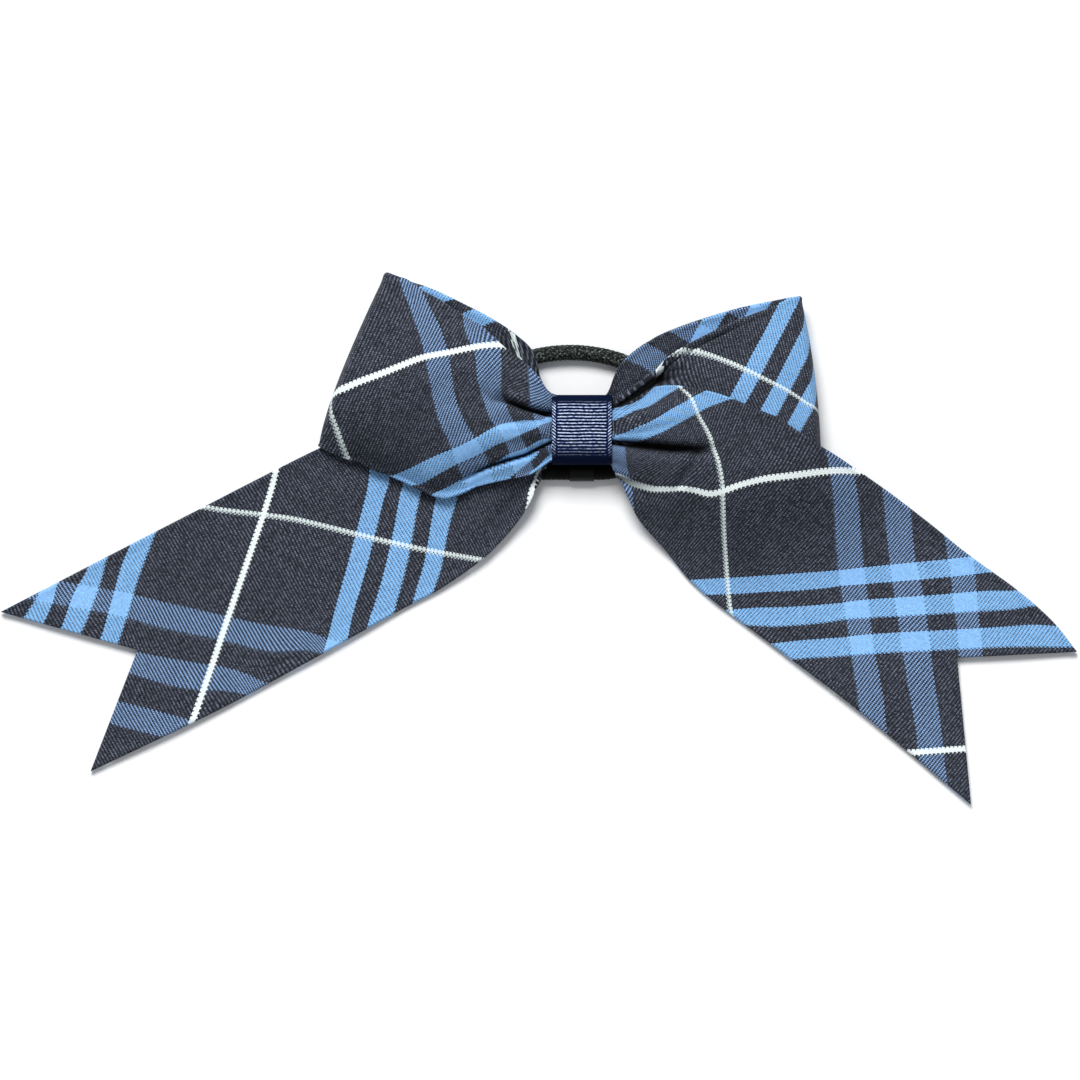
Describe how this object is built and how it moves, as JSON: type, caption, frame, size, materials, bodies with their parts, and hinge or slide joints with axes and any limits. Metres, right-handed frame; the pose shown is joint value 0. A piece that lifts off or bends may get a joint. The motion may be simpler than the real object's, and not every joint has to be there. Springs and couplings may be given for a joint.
{
  "type": "cheer hair bow",
  "caption": "Cheer hair bow of plaid cloth: loops and swallowtail tails gathered under a ribbed ribbon knot, with a round hair elastic at the back.",
  "frame": {"origin": "middle of the flat ribbon at the back of the knot, the face that lies against the hair", "axes": "+X towards the right loop, +Y towards the loops' upper corners, +Z out of the bow's face"},
  "size_m": [0.2856, 0.1404, 0.0199],
  "materials": {
    "plaid_cotton": "woven matte",
    "grosgrain_ribbon": "ribbed, slight sheen",
    "keeper_ribbon": "woven satin",
    "elastic_cover": "braided matte",
    "elastic_rubber": "matte",
    "sewing_thread": "spun matte",
    "hot_glue": "translucent satin"
  },
  "bodies": {
    "knot": {"knot_ribbon": "grosgrain_ribbon", "front_gather": "plaid_cotton", "middle_gather": "plaid_cotton", "back_gather": "plaid_cotton", "cinch_thread": "sewing_thread", "glue_pads": "hot_glue", "elastic_keeper": "keeper_ribbon"},
    "left_wing": {"left_loop": "plaid_cotton", "left_tail": "plaid_cotton"},
    "right_wing": {"right_loop": "plaid_cotton"},
    "right_tail": {"right_tail": "plaid_cotton"},
    "hair_elastic": {"elastic_sheath": "elastic_cover", "elastic_core": "elastic_rubber"}
  },
  "joints": [
    {"name": "left_wing_fold", "type": "hinge", "parent": "knot", "child": "left_wing", "pos_m": [-0.00825, 0, 0.0128], "axis": [0, 1, 0], "range_deg": [0, 45]},
    {"name": "right_wing_fold", "type": "hinge", "parent": "knot", "child": "right_wing", "pos_m": [0.00825, 0, 0.0128], "axis": [0, -1, 0], "range_deg": [0, 45]},
    {"name": "right_tail_lift", "type": "hinge", "parent": "right_wing", "child": "right_tail", "pos_m": [0.00825, 0, 0.0128], "axis": [0, -1, 0], "range_deg": [0, 40]},
    {"name": "elastic_swing", "type": "hinge", "parent": "knot", "child": "hair_elastic", "pos_m": [0, -0.01118, 0.0025], "axis": [-1, 0, 0], "range_deg": [0, 120]}
  ]
}
